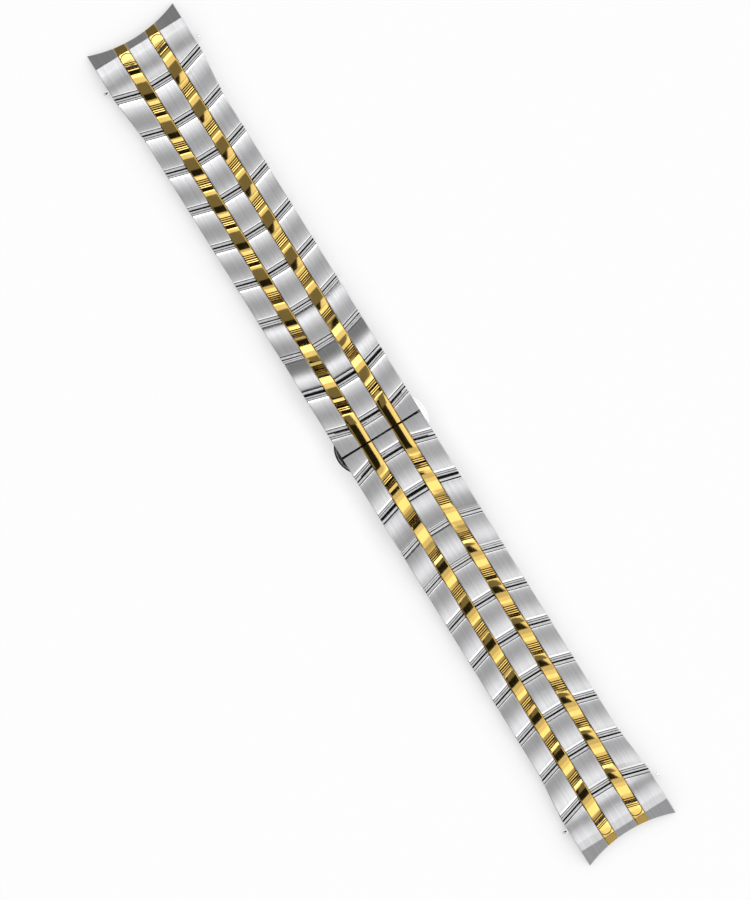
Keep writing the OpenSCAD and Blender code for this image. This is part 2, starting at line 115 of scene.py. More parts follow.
HOOK_X = 0.5
HOOK_LEN = 1.2
HOOK_RUN = 1.35
HOOK_T = 0.6
HOOK_LIP = 0.25
LIP_H = 0.2

# The end links: an arch, a flat from FLAT_AT and a steeper one from TIP_AT, and on the gold a rounded
# groove whose middle is CAP_RISE nearer the case than its ends
END_LEN = 9.9
CASE_R = 27.0
ARCH_IN_R = 8.0
ARCH_OUT_R = 15.5
FLAT_AT = 6.8
FLAT_TILT = math.radians(13)
TIP_AT = 8.5
TIP_TILT = math.radians(30)
CAP_AT = 7.2
CAP_RISE = 1.0
INLAY_STEP = 0.36
ARCH_TOP = 3.4
ARCH_AT = 4.5
FOOT_RUN = 3.3
FOOT_RISE = 0.12
BRIDGE_IN = 0.6
BRIDGE_W = GOLD_W + 4 * LAYER_GAP
INLAY_T = 1.1
DRAPE = [math.radians(a) for a in (0, 2, 11, 20, 15, 8, 4)]

GOLD_Y = CENTRE_W / 2 + COLUMN_GAP
OUTER_Y = GOLD_Y + GOLD_W + COLUMN_GAP
EDGE_Y = OUTER_Y + OUTER_W
END_Y = (LUG_W - LUG_GAP) / 2
PIN_REACH = PITCH / 2
LAST_REACH = PITCH - PIN_IN - PIN_REACH + BAR_IN
END_STEP = 2 * ROWS + 1
FLANGE_Y = END_Y - FLANGE_SINK - FLANGE_T
TUBE_HALF = FLANGE_Y - TIP_TRAVEL - LAYER_GAP
SHANK_IN = TUBE_HALF - SHANK_LEN
BOX_Y = EDGE_Y - PLATE_IN - BOX_INSET
BUTTON_Y = EDGE_Y + BUTTON_OUT
BUTTON_R = ((BUTTON_LEN / 2) ** 2 + BUTTON_OUT**2) / (2 * BUTTON_OUT)
BUTTON_IN = BOX_Y + BUTTON_TRAVEL + LAYER_GAP
SLIDER_IN = BOX_Y - SLIDER_RUN

# Detail that the solids leave out: the groove at the foot of each step, coloured near black as painted
# shade, and the lip at the top of a gap's walls
GROOVE_W = 0.14
GOLD_GROOVE_W = 0.18
GROOVE_DEPTH = 0.12
GROOVE_SLOPE = 0.02
GAP_LIP = 0.05
SEAM_LIP = 0.08

# How much farther from the middle of a gap each wall is than in the solids, and the nose on a wall,
# coloured near black as painted shade
GAP_MORE = 0.06
SEAM_MORE = 0.1
CLASP_GAP_MORE = 0.2
SEAM_NOSE = 0.03
LINING_GAP = 0.08
LINING_H = 0.5

# How far a steel bevel drops from the crown, the beads and bevels at a gold bar's ends, and half the width
# of the crease between two flats
FINE_DROP = 0.05
BROAD_DROP = 0.1
GOLD_BEAD = 0.05
BEAD_AT = 0.45
GOLD_BEVEL = 0.6
GOLD_BEVEL_DROP = 0.26
GOLD_FOOT_LIFT = 0.09
GOLD_FOOT_Z = GOLD_STEP_Z + GOLD_STEP_H + GOLD_FOOT_LIFT
CREASE = 0.03

# The springs' turns in each half, the crimped grooves near the ends of a spring bar's tube, and the heights
# at which a clasp block's cuts start and its latch hooks end
BAR_TURNS = 18
BUTTON_TURNS = 20
CRIMP_IN = 0.9
CRIMP_W = 0.12
CRIMP_DEPTH = 0.08
CUT_FROM = -1.0
HOOK_ROOT = 0.2

# A button's edge as (height, inset): up from its foot, and down from its top with the fine groove
BUTTON_FOOT = [(0.0, 0.22), (0.08, 0.08), (0.25, 0.0)]
BUTTON_HEAD = [(0.22, 0.0), (0.16, 0.06), (0.13, 0.4), (0.19, 0.43), (0.18, 0.5), (0.11, 0.53), (0.0, 1.5)]

# Across a block or a bar: the rim at each side, how far it drops, and the radius of the gold's crown
STEEL_RIM = 0.12
STEEL_RIM_DROP = 0.085
GOLD_RIM = 0.11
GOLD_RIM_DROP = 0.08
GOLD_CROSS_R = 30.0
INLAY_CROSS_R = 9.0
END_CROSS_R = 8.0
RIM_FROM_Z = LEDGE_Z - 0.1

# The mesh: segments along and across the crowns, around a lens, a coil, its wire and a turned piece
CROWN_STEPS = 14
ARCH_STEPS = 10
INLAY_STEPS = 4
CROSS_STEPS = 10
END_MIDDLE_STEPS = 6
END_OUTER_STEPS = 8
BRIDGE_STEPS = 4
LENS_STEPS = 32
COIL_STEPS = 12
WIRE_SIDES = 6
TURNED_SIDES = 32

# The rounding of edges that are sharper than ROUND_ANGLE
EDGE_ROUND = 0.035
GOLD_ROUND = 0.02
BUTTON_ROUND = 0.03
ROUND_ANGLE = math.radians(30)
ROUND_SEGMENTS = 2

# Where a kind of piece starts in the grain, and how far apart its pieces, halves and sides lie in it
ROW_GRAIN, ROW_GRAIN_HALF, STEEL_GRAIN_SIDE = 37.0, 500.0, 90.0
GOLD_GRAIN, GOLD_GRAIN_HALF, GOLD_GRAIN_SIDE = 41.0, 300.0, 70.0
CLASP_GRAIN, CLASP_GRAIN_HALF = 700.0, 40.0
INLAY_GRAIN, INLAY_GRAIN_SIDE = 900.0, 30.0
END_GRAIN, BRIDGE_GRAIN, END_GOLD_GRAIN = 1000.0, 1200.0, 1300.0

# The grain runs along U, so the gloss is wide across it. Its broad streaks have scales that are shares of
# the fine ones, and a noise is used between NOISE_LOW and NOISE_HIGH
QUARTER_TURN = 0.25
BROAD_ALONG = 0.4
BROAD_ACROSS = 0.18
FINE_DETAIL = 3
BROAD_DETAIL = 2
NOISE_LOW = 0.3
NOISE_HIGH = 0.7
RELIEF = 0.01

# The photograph, seen from straight above with the bracelet lying across it: its height in pixels, its
# scale, how the bracelet is turned in it, and what lies at its middle. The clip distances are in metres
PHOTO_H = 900
MM_PER_PIXEL = 0.197
CAMERA_TURN = math.radians(58.14)
CAMERA_AT = (1.95, -2.67)
CAMERA_HEIGHT = 2600.0
SENSOR_H = 36.0
CLIP_NEAR, CLIP_FAR = 0.1, 10.0

# Panels of light above the bracelet, as (name, x from, x to, y from, y to, level)
PANEL_HEIGHT = 400.0
PANELS = [
    ("panel_a_rim", -345.0, -235.0, -450.0, 450.0, 2.1),
    ("panel_a", -235.0, -160.0, -450.0, 450.0, 0.92),
    ("panel_a_right", -160.0, -115.0, 60.0, 450.0, 0.95),
    ("panel_a_left", -160.0, -115.0, -450.0, -60.0, 0.8),
    ("panel_brown", -160.0, -20.0, -60.0, 60.0, 0.17),
    ("panel_right_a", -115.0, -20.0, 60.0, 150.0, 0.95),
    ("panel_right_b", -20.0, 60.0, 30.0, 150.0, 0.95),
    ("panel_right_far", -115.0, 60.0, 150.0, 450.0, 0.3),
    ("panel_left", -115.0, 60.0, -450.0, -150.0, 0.25),
    ("panel_b_mid", 60.0, 115.0, -450.0, 450.0, 0.66),
    ("panel_b_near", 115.0, 165.0, -450.0, 450.0, 0.92),
    ("panel_b", 165.0, 300.0, -450.0, 450.0, 1.35),
    ("panel_b_rim", 300.0, 400.0, -450.0, 450.0, 0.8),
    ("panel_b_end", 400.0, 640.0, -450.0, 450.0, 0.45),
]

# The world's level against the Y of a direction: WORLD_MIDDLE, and WORLD_FLANK at those X where
# FLANK_SHARE is 1. Where END_SHARE is 1, END_LEVELS gives the level against X. Below the first height of
# HORIZON the level is HORIZON_LEVEL, and it fades to the others up to the second
WORLD_MIDDLE = [(-1.0, 0.2), (-0.85, 0.04), (-0.2, 0.012), (0.07, 0.012), (0.35, 0.6), (1.0, 0.9)]
WORLD_FLANK = [
    (-1.0, 0.2), (-0.85, 0.04), (-0.4, 0.02), (-0.3, 0.45), (-0.15, 0.45), (-0.07, 0.012), (0.4, 0.012),
    (0.6, 0.6), (1.0, 0.9),
]
FLANK_SHARE = [(-1.0, 1.0), (-0.6, 1.0), (-0.5, 0.0), (0.5, 0.0), (0.6, 1.0), (1.0, 1.0)]
END_SHARE = [(-1.0, 1.0), (-0.84, 1.0), (-0.79, 0.0), (0.79, 0.0), (0.84, 1.0), (1.0, 1.0)]
END_LEVELS = [(-1.0, 0.15), (-0.1, 0.15), (0.1, 0.45), (1.0, 0.45)]
HORIZON = (0.1, 0.35)
HORIZON_LEVEL = 0.8

# The floor: half its width, its tone and roughness, how much of it glows white, for the camera and in the
# metal, where it is open, and how near a piece it darkens
FLOOR_HALF = 4000.0
FLOOR_TONE = 0.9
FLOOR_ROUGH = 0.7
FLOOR_GLOW = 0.95
SHADOW_REACH = 6.0


def slope(n):
    """How far piece n of a half tilts, from the clasp end outward."""
    return DRAPE[n] if n < len(DRAPE) else 0.0


def reach(n):
    """The distance from the pivot of piece n to the next one."""
    return LAST_REACH if n == 2 * ROWS else PIN_REACH


def pivots():
    """The pivot (x, z) of each piece of half b, from 1 to END_STEP."""
    clasp_z = sum(reach(n) * math.sin(slope(n)) for n in range(1, END_STEP))
    at = {1: (CLASP_LEN + PIN_IN, clasp_z + PIN_Z)}
    for n in range(2, END_STEP + 1):
        x, z = at[n - 1]
        step = reach(n - 1)
        at[n] = (x + step * math.cos(slope(n - 1)), z - step * math.sin(slope(n - 1)))
    return clasp_z, at


CLASP_Z, PIVOT = pivots()
BASE_TOP_Z = CLASP_Z - LAYER_GAP - ARM_T - LAYER_GAP
BUTTON_Z = BASE_TOP_Z + LAYER_GAP
BOX_FLOOR = BASE_TOP_Z + PRESS_GAP + FLOOR_T
SLIDER_Z = BOX_FLOOR + RAIL_H + RUN_GAP


def row_step(i):
    """Row i's place in its half, counted from the clasp end."""
    return 2 * (ROWS - i) + 1


def gold_step(i):
    """Gold pair i's place in its half."""
    return row_step(i) + 1


def placement(half, n, origin_x):
    """Puts a piece's own frame into the drape: its pivot is at origin_x and PIN_Z in that frame."""
    x, z = PIVOT[n]
    side = 1 if half == "b" else -1
    turn = Matrix.Rotation(side * slope(n), 4, "Y")
    back = Matrix.Translation((-side * origin_x * MM, 0, -PIN_Z * MM))
    return Matrix.Translation((side * x * MM, 0, z * MM)) @ turn @ back


def spread(start, stop, steps):
    """Values from start to stop, in equal steps."""
    return [start + (stop - start) * k / steps for k in range(steps + 1)]


def crown(x0, x1, middle, top, lean):
    """Points of the crown between two stations, as a cylinder whose axis leans shows in section."""
    points = []
    for x in spread(x0, x1, CROWN_STEPS):
        off = (x - middle) * math.cos(lean)
        points.append((x, top - CROWN_R + math.sqrt(CROWN_R**2 - off**2), "crown"))
    return points


def riser(x, low, high, direction, width=GROOVE_W):
    """A step up from low to high at x, with a fine groove at its foot, coloured near black as painted
    shade;
    direction is 1 where the outline goes up toward the crown along +x."""
    out = x - direction * width
    return [
        (out, low, "recess"),
        (out + direction * GROOVE_SLOPE, low - GROOVE_DEPTH, "recess"),
        (x, low - GROOVE_DEPTH, "recess"),
        (x, low + GROOVE_SLOPE, "end"),
        (x, high, "bevel"),
    ]


def shift_kinds(points):
    """Gives each face of an outline that is walked backward the kind that it has when walked forward."""
    kinds = [kind for _, _, kind in points]
    return [(x, z, kind) for (x, z, _), kind in zip(reversed(points), reversed(["end", *kinds[:-1]]))]


def end_as(points, kind):
    """The same points, with another kind for the face that starts at the last one."""
    x, z, _ = points[-1]
    return [*points[:-1], (x, z, kind)]


def steel_profile(length, lean):
    """The outline (x, z, kind) of a steel block, clockwise from the foot at the clasp side. A point's
    kind is that of the face that starts there."""
    first = ROW_GAP / 2 + GAP_MORE + LEDGE_W + FINE_BEVEL
    last = crown_end(length)
    arc = end_as(crown(first, last, (first + last) / 2, STEEL_TOP, lean), "bevel")
    edge = arc[0][1]
    return [*inner_end(0.0, edge), *arc, *outer_end(length, edge)]


def painted_shade_nose(wall, nose):
    """A rounded nose on the wall of a gap, level with the pins, which hides what lies below the gap. It is
    coloured near black, a painted shade for the depth of the gap.
    """
    return [
        (wall, PIN_Z - LINING_H, "gap"),
        (nose, PIN_Z - LINING_H / 2, "gap"),
        (nose, PIN_Z + LINING_H / 2, "gap"),
        (wall, PIN_Z + LINING_H, "wall"),
    ]


def crown_end(length, more=GAP_MORE):
    """Where the crown of a steel block ends and its broad bevel starts."""
    return length - ROW_GAP / 2 - more - 2 * STEP_W - BROAD_BEVEL


def inner_end(shift, edge):
    """The clasp side of a steel block, from its foot up to the crown, whose end is edge high."""
    near = ROW_GAP / 2 + GAP_MORE + shift
    return [
        (near + FOOT_RELIEF, 0.0, "wall"),
        *painted_shade_nose(near, near - ROW_GAP - 2 * GAP_MORE + LINING_GAP),
        (near, LEDGE_Z - GAP_LIP, "end"),
        (near, LEDGE_Z, "ledge"),
        *riser(near + LEDGE_W, LEDGE_Z, edge - FINE_DROP, 1),
    ]


def outer_end(length, edge, more=GAP_MORE):
    """The watch side of a steel block, from the crown down two steps to its foot."""
    far = length - ROW_GAP / 2 - more
    tail = [
        (far - FOOT_RELIEF, 0.0, "wall"),
        (far, PIN_Z, "wall"),
        (far, LEDGE_Z - GAP_LIP, "end"),
        (far, LEDGE_Z, "ledge"),
        *riser(far - STEP_W, LEDGE_Z, STEP_Z, -1)[:-1],
        (far - STEP_W, STEP_Z, "ledge"),
        *riser(far - 2 * STEP_W, STEP_Z, edge - BROAD_DROP, -1),
    ]
    return end_as(shift_kinds(tail), "foot")


def clasp_profile():
    """The outline of a block of a clasp end, from the seam outward."""
    near = SEAM / 2 + SEAM_MORE
    last = crown_end(CLASP_LEN, CLASP_GAP_MORE)
    arc = end_as(crown(near, last, CLASP_CROWN_AT, STEEL_TOP, 0.0), "bevel")
    head = [(near, 0.0, "wall"), *painted_shade_nose(near, SEAM_NOSE), (near, STEEL_TOP - SEAM_LIP, "end")]
    return [*head, *arc, *outer_end(CLASP_LEN, arc[-1][1], CLASP_GAP_MORE)]


def inlay_profile():
    """The outline of a clasp inlay, level from the seam and then crowned down to its outer end."""
    near = SEAM / 2 + SEAM_MORE
    last = CLASP_LEN + GOLD_GAP_AT
    tail = gold_end(last, -1)
    stop = tail[-1][0] - CREASE
    arc = []
    for x in spread(near, stop, CROWN_STEPS):
        off = max(0.0, x - last / 2) * math.cos(SLANT)
        arc.append((x, GOLD_TOP - CROWN_R + math.sqrt(CROWN_R**2 - off**2), "crown"))
    head = [(near, GOLD_FOOT, "wall"), *painted_shade_nose(near, SEAM_NOSE), (near, GOLD_TOP - SEAM_LIP, "end")]
    return [*head, *arc, *end_as(shift_kinds(tail), "foot")]


def arch_z(x):
    """The height of an end link's top: an arch, then two flats that fall toward the case."""
    if x <= FLAT_AT:
        radius = ARCH_IN_R if x < ARCH_AT else ARCH_OUT_R
        return ARCH_TOP - radius + math.sqrt(radius**2 - (x - ARCH_AT) ** 2)
    if x <= TIP_AT:
        return arch_z(FLAT_AT) - (x - FLAT_AT) * math.tan(FLAT_TILT)
    return arch_z(TIP_AT) - (x - TIP_AT) * math.tan(TIP_TILT)


def case_x(y):
    """Where the round case meets the end link."""
    return END_LEN + CASE_R - math.sqrt(CASE_R**2 - y * y)


def underside(y):
    """The lower end of an end link's outline, which rises toward the case."""
    foot_x = END_LEN - FOOT_RUN
    x = case_x(y)
    return [(x, (x - foot_x) * FOOT_RISE, "foot"), (foot_x, 0.0, "foot")]


def arch_points(first, y, drop, kind="crown"):
    """Points along the top from first to the case, lowered by drop."""
    runs = [(first, FLAT_AT - CREASE), (FLAT_AT + CREASE, TIP_AT - CREASE), (TIP_AT + CREASE, case_x(y))]
    points = []
    for x0, x1 in runs:
        points += [(x, arch_z(x) - drop, kind) for x in spread(x0, x1, ARCH_STEPS)]
    return end_as(points, "end")


def end_outline(y, shift, drop):
    """The outline of an end link's block at y; its clasp side is moved by shift."""
    first = ROW_GAP / 2 + GAP_MORE + shift + LEDGE_W + FINE_BEVEL
    return [*inner_end(shift, arch_z(first) - drop), *arch_points(first, y, drop), *underside(y)]


def bridge_outline(y):
    """The outline of the end link below a gold inlay; its wall toward the clasp is coloured near black as
    painted shade.
    """
    start = END_GOLD_GAP_AT + BRIDGE_IN
    return [(start, 0.0, "gap"), *arch_points(start, y, INLAY_T, "side"), *underside(y)]


def cap_x(y):
    """Where a rounded groove crosses an end link's gold inlay, like the end of a bar laid into it."""
    share = (y - GOLD_Y - GOLD_W / 2) / (GOLD_W / 2)
    return CAP_AT + CAP_RISE * math.sqrt(max(0.0, 1 - share * share))


def end_inlay_outline(y, shift, drop):
    """The outline of an end link's gold inlay at y, with two straight grooves and a rounded one. The
    grooves and the end toward the clasp are coloured near black as painted shade.
    """
    start = END_GOLD_GAP_AT + GOLD_GAP / 2 + shift
    half_w = GOLD_GROOVE_W / 2
    first = start + INLAY_STEP
    second = start + 2 * INLAY_STEP
    cap = cap_x(y)
    runs = [
        (start, first - half_w, "groove"),
        (first + half_w, second - half_w, "groove"),
        (second + half_w, FLAT_AT - CREASE, "crease"),
        (FLAT_AT + CREASE, cap - half_w, "groove"),
        (cap + half_w, TIP_AT - CREASE, "crease"),
        (TIP_AT + CREASE, case_x(y), "case"),
    ]
    top = []
    for x0, x1, what_follows in runs:
        top += [(x, arch_z(x) - drop, "crown") for x in spread(x0, x1, INLAY_STEPS)]
        if what_follows == "groove":
            floor_z = top[-1][1] - GROOVE_DEPTH
            top = end_as(top, "recess")
            top.append((x1 + GROOVE_SLOPE, floor_z, "recess"))
            top.append((x1 + GOLD_GROOVE_W - GROOVE_SLOPE, floor_z, "recess"))
    top = end_as(top, "end")
    low = [(x, arch_z(x) - INLAY_T + PRESS_GAP, "foot") for x, _, _ in reversed(top)]
    return [*top, *end_as(low, "gap")]


def gold_end(x, direction):
    """One end of a gold bar, from its foot over two beaded steps and a bevel to the crown; direction is 1
    where it faces the clasp. Only the end that faces the clasp has a nose; the band of wall at the pins'
    height and the grooves are coloured near black as painted shade."""
    gap = GOLD_GAP / 2
    lower = GOLD_STEP_Z - GOLD_BEAD
    upper = GOLD_STEP_Z + GOLD_STEP_H
    start = x + direction * gap
    nose = start - direction * (GOLD_GAP - LINING_GAP) if direction > 0 else start
    first = start + direction * GOLD_STEP_W
    second = start + direction * 2 * GOLD_STEP_W
    bevel_x = start + direction * (2 * GOLD_STEP_W + GOLD_BEVEL - CREASE)
    bevel_z = GOLD_FOOT_Z + GOLD_BEVEL_DROP * (1 - CREASE / GOLD_BEVEL)
    return [
        (start + direction * FOOT_RELIEF, GOLD_FOOT, "wall"),
        *painted_shade_nose(start, nose),
        (start, GOLD_STEP_Z - GAP_LIP, "end"),
        (start, lower, "ledge"),
        (start + direction * GOLD_STEP_W * BEAD_AT, GOLD_STEP_Z, "ledge"),
        *riser(first, lower, upper, direction, GOLD_GROOVE_W)[:-1],
        (first, upper - GOLD_BEAD, "ledge"),
        (start + direction * GOLD_STEP_W * (1 + BEAD_AT), upper, "ledge"),
        *riser(second, upper - GOLD_BEAD, GOLD_FOOT_Z, direction, GOLD_GROOVE_W),
        (bevel_x, bevel_z, "bevel"),
    ]


def gold_profile(first, last, lean):
    """The outline of a gold bar between two gold gaps."""
    head = gold_end(first, 1)
    tail = gold_end(last, -1)
    start = head[-1][0] + CREASE
    stop = tail[-1][0] - CREASE
    arc = crown(start, stop, (first + last) / 2, GOLD_TOP, lean)
    lift = GOLD_FOOT_Z + GOLD_BEVEL_DROP - arc[0][1]
    arc = end_as([(x, z + lift, kind) for x, z, kind in arc], "bevel")
    return [*head, *arc, *end_as(shift_kinds(tail), "foot")]


class Shape:
    """Collects the faces of one mesh, in millimetres, with a kind for each face."""

    def __init__(self, mirrored):
        self.points = []
        self.faces = []
        self.kinds = []
        self.uvs = []
        self.flip = -1 if mirrored else 1

    def loft(self, profile, sides, lean, pivot_y, rings, hand, shift=0.0, still=None):
        """Sweeps an outline across the bracelet. sides gives y at a share of the width and an x; rings
        holds pairs of that share and the depth by which the top sinks there; hand is the side of the
        bracelet, 1 or -1; shift keeps each block's grain apart from its neighbours'. still names two x,
        between which the lean grows from nothing."""
        sections = []
        for share, drop in rings:
            section = []
            for x, z, kind in profile:
                y = sides(share, x)
                amount = 1.0
                if still:
                    amount = min(1.0, max(0.0, (x - still[0]) / (still[1] - still[0])))
                along = x + (y - pivot_y) * math.tan(lean) * amount
                height = z - drop if z > RIM_FROM_Z else z
                section.append((along, y, height, kind))
            sections.append(section)
        self.skin(sections, hand, shift)

    def skin(self, sections, hand, shift):
        """Joins outlines at stations across the bracelet, each a list of (x, y, z, kind)."""
        first = len(self.points)
        count = len(sections[0])
        for section in sections:
            for x, y, z, _ in section:
                self.points.append((self.flip * x, hand * y, z))
        turned = self.flip * hand < 0
        for r in range(len(sections) - 1):
            for i in range(count):
                j = (i + 1) % count
                face = [
                    first + r * count + i,
                    first + (r + 1) * count + i,
                    first + (r + 1) * count + j,
                    first + r * count + j,
                ]
                self.add(face, sections[0][i][3], turned, shift)
        near = [first + i for i in range(count)]
        far = [first + (len(sections) - 1) * count + i for i in reversed(range(count))]
        self.add(near, "side", turned, shift)
        self.add(far, "side", turned, shift)

    def add(self, face, kind, turned, shift):
        """Adds one face, and its place in the grain."""
        if turned:
            face = face[::-1]
        self.faces.append(face)
        self.kinds.append(kind)
        u, v = {"side": (0, 2), "end": (1, 2)}.get(kind, (0, 1))
        for i in face:
            point = self.points[i]
            self.uvs.append((point[u] + shift, point[v] + shift))

    def mesh(self, name, slots):
        """The mesh in metres; slots maps a kind to the index of its material."""
        mesh = bpy.data.meshes.new(name)
        mesh.from_pydata([Vector(p) * MM for p in self.points], [], self.faces)
        layer = mesh.uv_layers.new(name="UVMap")
        for loop, uv in zip(layer.data, self.uvs):
            loop.uv = uv
        for polygon, kind in zip(mesh.polygons, self.kinds):
            polygon.material_index = slots.get(kind, 0)
        mesh.update()
        return mesh


def straight(near, far):
    """Sides that run parallel, from one y to another."""
    return lambda share, x: near + (far - near) * share


def widening(near, far, wide, run, lean):
    """A near side that is straight and a far side that widens from far to wide over the run given."""
    rate = (wide - far) / run
    tangent = math.tan(lean)

    def side(share, x):
        outside = (far + rate * (x - near * tangent)) / (1 - rate * tangent)
        return near + (outside - near) * share

    return side


def add_object(name, data):
    """A new object in the scene."""
    made = bpy.data.objects.new(name, data)
    bpy.context.scene.collection.objects.link(made)
    return made


def piece(name, mesh, materials, place, body, nodes, width=EDGE_ROUND, cuts=(), extras=()):
    """Makes an object from a mesh, takes the cuts out and adds the extras, rounds its edges, and sets it
    on its body in place of CAD nodes."""
    made = add_object(name, mesh)
    for material in materials:
        mesh.materials.append(material)
    made.matrix_world = place
    for cut in cuts:
        carve(made, cut)
    if extras:
        merge(made, extras)
    if width:
        rounding = made.modifiers.new("rounding", "BEVEL")
        rounding.width = width * MM
        rounding.segments = ROUND_SEGMENTS
        rounding.limit_method = "ANGLE"
        rounding.angle_limit = ROUND_ANGLE
        rounding.harden_normals = True
    for polygon in made.data.polygons:
        polygon.use_smooth = True
    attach(made, body)
    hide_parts(*nodes)
    return made


def carve(made, mesh):
    """Takes a closed mesh, given in the piece's own frame, out of the piece."""
    cutter = add_object("cutter", mesh)
    cutter.matrix_world = made.matrix_world
    cut = made.modifiers.new("cut", "BOOLEAN")
    cut.operation = "DIFFERENCE"
    cut.solver = "EXACT"
    cut.object = cutter
    bpy.context.view_layer.update()
    graph = bpy.context.evaluated_depsgraph_get()
    result = bpy.data.meshes.new_from_object(made.evaluated_get(graph))
    made.modifiers.clear()
    made.data = result
    bpy.data.objects.remove(cutter)


def merge(made, meshes):
    """Adds further closed meshes to a piece."""
    joined = bmesh.new()
    joined.from_mesh(made.data)
    for mesh in meshes:
        joined.from_mesh(mesh)
    joined.to_mesh(made.data)
    joined.free()


def plain_mesh(name, points, faces, index):
    """A mesh from points in millimetres, all of whose faces have one material index."""
    mesh = bpy.data.meshes.new(name)
    mesh.from_pydata([Vector(p) * MM for p in points], [], faces)
    for polygon in mesh.polygons:
        polygon.material_index = index
    mesh.update()
    return mesh


def face_outward(mesh):
    """Turns the faces of a closed mesh outward."""
    turned = bmesh.new()
    turned.from_mesh(mesh)
    bmesh.ops.recalc_face_normals(turned, faces=turned.faces)
    turned.to_mesh(mesh)
    turned.free()
    return mesh


def end_faces(points, count):
    """The faces that close the first and the last ring of count points."""
    last = len(points) - 1
    return [tuple(range(count)), tuple(range(last, last - count, -1))]


def block_mesh(x0, x1, y0, y1, z0, z1, index=0):
    """A closed box."""
    points = [(x, y, z) for z in (z0, z1) for x, y in ((x0, y0), (x1, y0), (x1, y1), (x0, y1))]
    faces = [(3, 2, 1, 0), (4, 5, 6, 7), (0, 1, 5, 4), (1, 2, 6, 5), (2, 3, 7, 6), (3, 0, 4, 7)]
    return plain_mesh("block", points, faces, index)


def turned_mesh(x, z, profile, index=0, count=TURNED_SIDES, ring=False):
    """A body turned about a line along Y; profile holds its (y, radius). A ring's ends meet in a bore."""
    points = []
    for y, radius in profile:
        for k in range(count):
            a = 2 * math.pi * k / count
            points.append((x + radius * math.cos(a), y, z + radius * math.sin(a)))
    faces = []
    bands = len(profile) if ring else len(profile) - 1
    for r in range(bands):
        here = r * count
        there = (r + 1) % len(profile) * count
        for k in range(count):
            j = (k + 1) % count
            faces.append((here + k, there + k, there + j, here + j))
    if not ring:
        faces += end_faces(points, count)
    return face_outward(plain_mesh("turned", points, faces, index))


def rod_mesh(x, z, radius, y0, y1, index=0):
    """A plain closed cylinder along Y."""
    return turned_mesh(x, z, [(y0, radius), (y1, radius)], index)


def lens_mesh(inner_y, levels, index=0, hand=1, half_len=BUTTON_R):
    """A button's lens outline, carried up through levels of (z, inset), with straight ends where it
    would pass half_len."""
    centre = BUTTON_Y - BUTTON_R
    points = []
    for z, inset in levels:
        radius = BUTTON_R - inset
        reach_out = math.acos((inner_y - centre) / radius)
        for a in spread(-reach_out, reach_out, LENS_STEPS):
            x = max(inset - half_len, min(half_len - inset, radius * math.sin(a)))
            points.append((x, hand * (centre + radius * math.cos(a)), z))
    count = LENS_STEPS + 1
    faces = []
    for r in range(len(levels) - 1):
        for k in range(count):
            j = (k + 1) % count
            faces.append((r * count + k, r * count + j, (r + 1) * count + j, (r + 1) * count + k))
    faces += end_faces(points, count)
    return face_outward(plain_mesh("lens", points, faces, index))


def coil_mesh(x, z, radius, wire, length, turns, hand):
    """Half of a coil spring along Y, from the middle of the bracelet outward."""
    points = []
    steps = turns * COIL_STEPS
    for s in range(steps + 1):
        a = 2 * math.pi * s / COIL_STEPS
        y = wire + (length - 2 * wire) * s / steps
        for k in range(WIRE_SIDES):
            b = 2 * math.pi * k / WIRE_SIDES
            r = radius - wire / 2 + wire / 2 * math.cos(b)
            points.append((x + r * math.cos(a), hand * (y + wire / 2 * math.sin(b)), z + r * math.sin(a)))
    faces = []
    for s in range(steps):
        for k in range(WIRE_SIDES):
            j = (k + 1) % WIRE_SIDES
            here = s * WIRE_SIDES
            there = here + WIRE_SIDES
            faces.append((here + k, here + j, there + j, there + k))
    faces += end_faces(points, WIRE_SIDES)
    return plain_mesh("coil", points, faces, 0)


def link_nodes(tree, *pairs):
    """Links each pair of an output and an input."""
    for source, target in pairs:
        tree.links.new(source, target)


def set_inputs(node, values):
    """Sets a node's inputs to the values given by name."""
    for name, value in values.items():
        node.inputs[name].default_value = value


def grain(tree, coords, scale_x, scale_y, detail):
    """A noise stretched along the bracelet, on the UV map or on the piece's own coordinates."""
    source = tree.nodes.new("ShaderNodeTexCoord")
    mapping = tree.nodes.new("ShaderNodeMapping")
    unit = 1.0 if coords == "UV" else 1.0 / MM
    set_inputs(mapping, {"Scale": (scale_x * unit, scale_y * unit, scale_y * unit)})
    noise = tree.nodes.new("ShaderNodeTexNoise")
    noise.noise_dimensions = "2D" if coords == "UV" else "3D"
    set_inputs(noise, {"Scale": 1, "Detail": detail})
    link_nodes(
        tree,
        (source.outputs[coords], mapping.inputs["Vector"]),
        (mapping.outputs["Vector"], noise.inputs["Vector"]),
    )
    return noise.outputs["Fac"]


def remap(tree, value, low, high):
    """Stretches a noise's middle range to the two values given."""
    node = tree.nodes.new("ShaderNodeMapRange")
    set_inputs(node, {"From Min": NOISE_LOW, "From Max": NOISE_HIGH, "To Min": low, "To Max": high})
    tree.links.new(value, node.inputs["Value"])
    return node.outputs["Result"]


